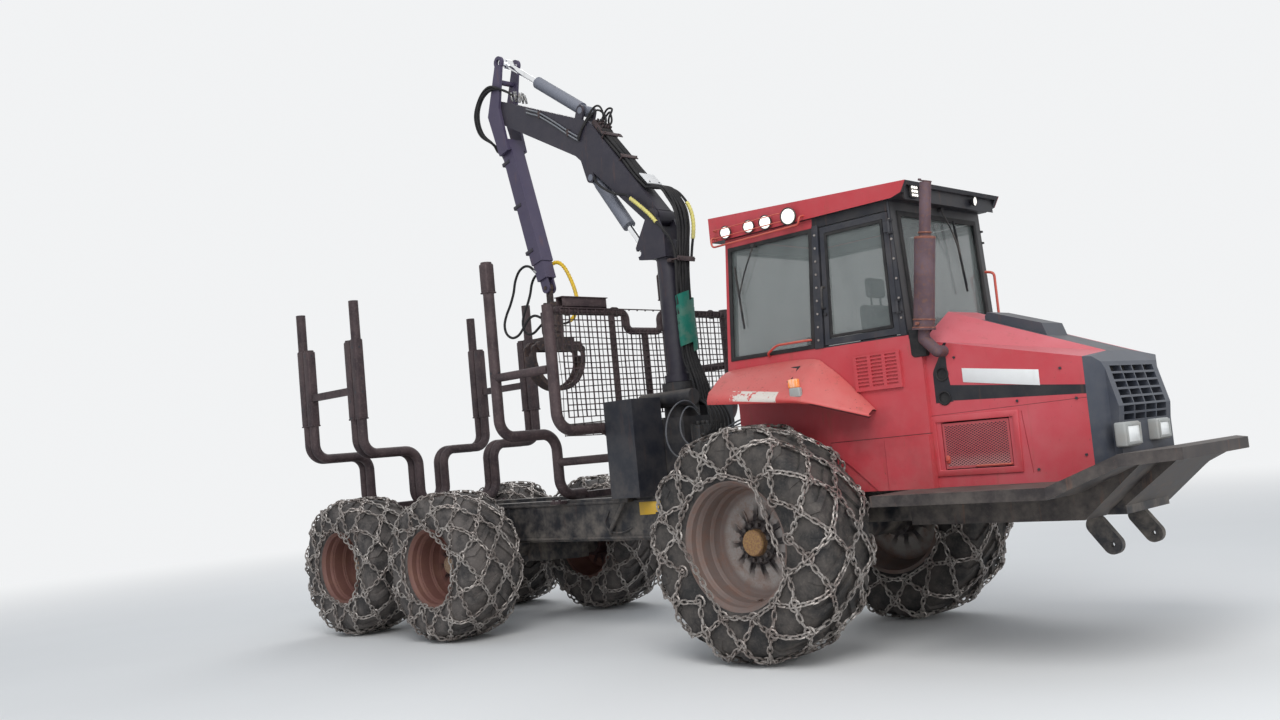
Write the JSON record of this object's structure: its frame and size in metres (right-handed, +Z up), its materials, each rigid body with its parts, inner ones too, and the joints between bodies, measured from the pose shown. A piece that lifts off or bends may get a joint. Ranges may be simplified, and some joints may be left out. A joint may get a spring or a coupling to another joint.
{
  "type": "forestry forwarder",
  "caption": "Articulated six-wheeled log forwarder with a glazed cab over the front axle, a rear load space with stakes and a headboard, and a folding crane with a log grapple.",
  "frame": {"origin": "on the ground, under the middle of the machine", "axes": "+X forward to the nose, +Y to the left side, +Z up"},
  "size_m": [8.7, 2.51, 5.4899],
  "materials": {
    "black_frame": "worn satin",
    "brown_steel": "rusty black",
    "engine_grey": "rough",
    "red_paint": "faded gloss",
    "black_nose": "satin",
    "window_glass": "clear",
    "lamp_glass": "clear",
    "rusty_pipe": "rusty",
    "seat_cloth": "woven",
    "black_plastic": "grained",
    "black_paint": "satin",
    "rusty_rim": "rusty",
    "tyre_rubber": "worn, with chains",
    "stake_steel": "worn, rusty brown",
    "crane_paint": "worn satin",
    "grapple_steel": "worn, rusty",
    "cylinder_grey": "satin",
    "chrome_rod": "polished"
  },
  "bodies": {
    "front_frame": {"front_chassis": "black_frame", "bumper_belly": "brown_steel", "blade_arms": "black_frame", "front_axle": "black_frame", "engine_block": "engine_grey", "hood": "red_paint", "nose": "black_nose", "cab_body": "red_paint", "fenders": "red_paint", "cab_roof": "red_paint", "cab_glass": "window_glass", "work_lamps": "lamp_glass", "exhaust": "rusty_pipe", "seat": "seat_cloth", "console": "black_plastic"},
    "door_right": {"door_right": "black_paint", "door_right_glass": "window_glass"},
    "door_left": {"door_left": "black_paint", "door_left_glass": "window_glass"},
    "side_panel_right": {"side_panel_right": "red_paint"},
    "side_panel_left": {"side_panel_left": "red_paint"},
    "centre_joint": {"centre_joint": "black_frame"},
    "rear_frame": {"rear_frame": "black_frame", "headboard": "stake_steel", "front_stakes": "stake_steel", "rear_bunks": "stake_steel", "crane_base": "black_frame", "side_tanks": "black_paint"},
    "bogie_right": {"bogie_right": "black_frame"},
    "bogie_left": {"bogie_left": "black_frame"},
    "pillar": {"crane_pillar": "crane_paint"},
    "boom": {"main_boom": "crane_paint"},
    "stick": {"stick": "crane_paint"},
    "extension": {"stick_extension": "crane_paint"},
    "link": {"grapple_link": "grapple_steel"},
    "rotator": {"rotator": "grapple_steel"},
    "grapple": {"grapple_frame": "grapple_steel"},
    "claw_right": {"claw_right": "grapple_steel"},
    "claw_left": {"claw_left": "grapple_steel"},
    "lift_cylinder": {"lift_cylinder": "cylinder_grey"},
    "lift_rod": {"lift_rod": "chrome_rod"},
    "jib_cylinder": {"jib_cylinder": "cylinder_grey"},
    "jib_rod": {"jib_rod": "chrome_rod"},
    "wheel_front_right": {"rim_front_right": "rusty_rim", "tyre_front_right": "tyre_rubber"},
    "wheel_front_left": {"rim_front_left": "rusty_rim", "tyre_front_left": "tyre_rubber"},
    "wheel_mid_right": {"rim_mid_right": "rusty_rim", "tyre_mid_right": "tyre_rubber"},
    "wheel_mid_left": {"rim_mid_left": "rusty_rim", "tyre_mid_left": "tyre_rubber"},
    "wheel_rear_right": {"rim_rear_right": "rusty_rim", "tyre_rear_right": "tyre_rubber"},
    "wheel_rear_left": {"rim_rear_left": "rusty_rim", "tyre_rear_left": "tyre_rubber"}
  },
  "joints": [
    {"name": "front_right_roll", "type": "hinge", "parent": "front_frame", "child": "wheel_front_right", "pos_m": [1.55, -0.955, 0.82], "axis": [0, 1, 0], "continuous": true},
    {"name": "front_left_roll", "type": "hinge", "parent": "front_frame", "child": "wheel_front_left", "pos_m": [1.55, 0.955, 0.82], "axis": [0, 1, 0], "continuous": true},
    {"name": "door_right_swing", "type": "hinge", "parent": "front_frame", "child": "door_right", "pos_m": [2.655, -0.614, 2.55], "axis": [0, 0, 1], "range_deg": [0, 80]},
    {"name": "door_left_swing", "type": "hinge", "parent": "front_frame", "child": "door_left", "pos_m": [2.655, 0.614, 2.55], "axis": [0, 0, -1], "range_deg": [0, 80]},
    {"name": "side_panel_right_lift", "type": "hinge", "parent": "front_frame", "child": "side_panel_right", "pos_m": [3.09, -0.5475, 1.51], "axis": [-1, 0, 0], "range_deg": [0, 75]},
    {"name": "side_panel_left_lift", "type": "hinge", "parent": "front_frame", "child": "side_panel_left", "pos_m": [3.09, 0.5475, 1.51], "axis": [1, 0, 0], "range_deg": [0, 75]},
    {"name": "steer", "type": "hinge", "parent": "front_frame", "child": "centre_joint", "pos_m": [0.6, 0, 0.83], "axis": [0, 0, 1], "range_deg": [-38, 38]},
    {"name": "frame_roll", "type": "hinge", "parent": "centre_joint", "child": "rear_frame", "pos_m": [0.4, 0, 0.83], "axis": [1, 0, 0], "range_deg": [-15, 15]},
    {"name": "bogie_right_rock", "type": "hinge", "parent": "rear_frame", "child": "bogie_right", "pos_m": [-2.797, -0.53, 0.707], "axis": [0, 1, 0], "range_deg": [-20, 20]},
    {"name": "bogie_left_rock", "type": "hinge", "parent": "rear_frame", "child": "bogie_left", "pos_m": [-2.797, 0.53, 0.707], "axis": [0, 1, 0], "range_deg": [-20, 20]},
    {"name": "mid_right_roll", "type": "hinge", "parent": "bogie_right", "child": "wheel_mid_right", "pos_m": [-2.0435, -0.945, 0.667], "axis": [0, 1, 0], "continuous": true},
    {"name": "mid_left_roll", "type": "hinge", "parent": "bogie_left", "child": "wheel_mid_left", "pos_m": [-2.0435, 0.945, 0.667], "axis": [0, 1, 0], "continuous": true},
    {"name": "rear_right_roll", "type": "hinge", "parent": "bogie_right", "child": "wheel_rear_right", "pos_m": [-3.5505, -0.945, 0.667], "axis": [0, 1, 0], "continuous": true},
    {"name": "rear_left_roll", "type": "hinge", "parent": "bogie_left", "child": "wheel_rear_left", "pos_m": [-3.5505, 0.945, 0.667], "axis": [0, 1, 0], "continuous": true},
    {"name": "slew", "type": "hinge", "parent": "rear_frame", "child": "pillar", "pos_m": [0.07, 0, 2], "axis": [0, 0, 1], "range_deg": [-25, 25]},
    {"name": "boom_lift", "type": "hinge", "parent": "pillar", "child": "boom", "pos_m": [0.03, 0, 3.52], "axis": [0, 1, 0], "range_deg": [-25, 35]},
    {"name": "stick_swing", "type": "hinge", "parent": "boom", "child": "stick", "pos_m": [-1.95, 0, 4.99], "axis": [0, 1, 0], "range_deg": [-15, 65]},
    {"name": "stick_reach", "type": "slide", "parent": "stick", "child": "extension", "axis": [0.2453, 0, -0.9694], "range_m": [0, 0.8]},
    {"name": "link_swing", "type": "hinge", "parent": "extension", "child": "link", "pos_m": [-1.48392, 0, 3.14805], "axis": [0, -1, 0], "range_deg": [-60, 60]},
    {"name": "cross_swing", "type": "hinge", "parent": "link", "child": "rotator", "pos_m": [-1.48392, 0, 2.97805], "axis": [1, 0, 0], "range_deg": [-30, 30]},
    {"name": "rotator_turn", "type": "hinge", "parent": "rotator", "child": "grapple", "pos_m": [-1.48392, 0, 2.71805], "axis": [0, 0, 1], "continuous": true},
    {"name": "claw_right_open", "type": "hinge", "parent": "grapple", "child": "claw_right", "pos_m": [-1.48392, -0.24, 2.58805], "axis": [-1, 0, 0], "range_deg": [0, 60]},
    {"name": "claw_left_open", "type": "hinge", "parent": "grapple", "child": "claw_left", "pos_m": [-1.48392, 0.24, 2.58805], "axis": [1, 0, 0], "range_deg": [0, 60]},
    {"name": "lift_cylinder_pivot", "type": "hinge", "parent": "boom", "child": "lift_cylinder", "pos_m": [-0.7, 0, 4.03], "axis": [0, 1, 0], "range_deg": [-8, 8]},
    {"name": "lift_rod_travel", "type": "slide", "parent": "lift_cylinder", "child": "lift_rod", "axis": [0.5665, 0, -0.824], "range_m": [-0.2, 0.25]},
    {"name": "jib_cylinder_pivot", "type": "hinge", "parent": "boom", "child": "jib_cylinder", "pos_m": [-0.76, 0, 4.67], "axis": [0, 1, 0], "range_deg": [-8, 8]},
    {"name": "jib_rod_travel", "type": "slide", "parent": "jib_cylinder", "child": "jib_rod", "axis": [-0.8101, 0, 0.5863], "range_m": [-0.6, 0.2]}
  ],
  "couplings": [
    {"joint": "claw_left_open", "follows": "claw_right_open", "ratio": 1},
    {"joint": "lift_cylinder_pivot", "follows": "boom_lift", "ratio": -0.12},
    {"joint": "lift_rod_travel", "follows": "boom_lift", "m_per_rad": 0.29},
    {"joint": "jib_cylinder_pivot", "follows": "stick_swing", "ratio": -0.02},
    {"joint": "jib_rod_travel", "follows": "stick_swing", "m_per_rad": -0.4}
  ]
}
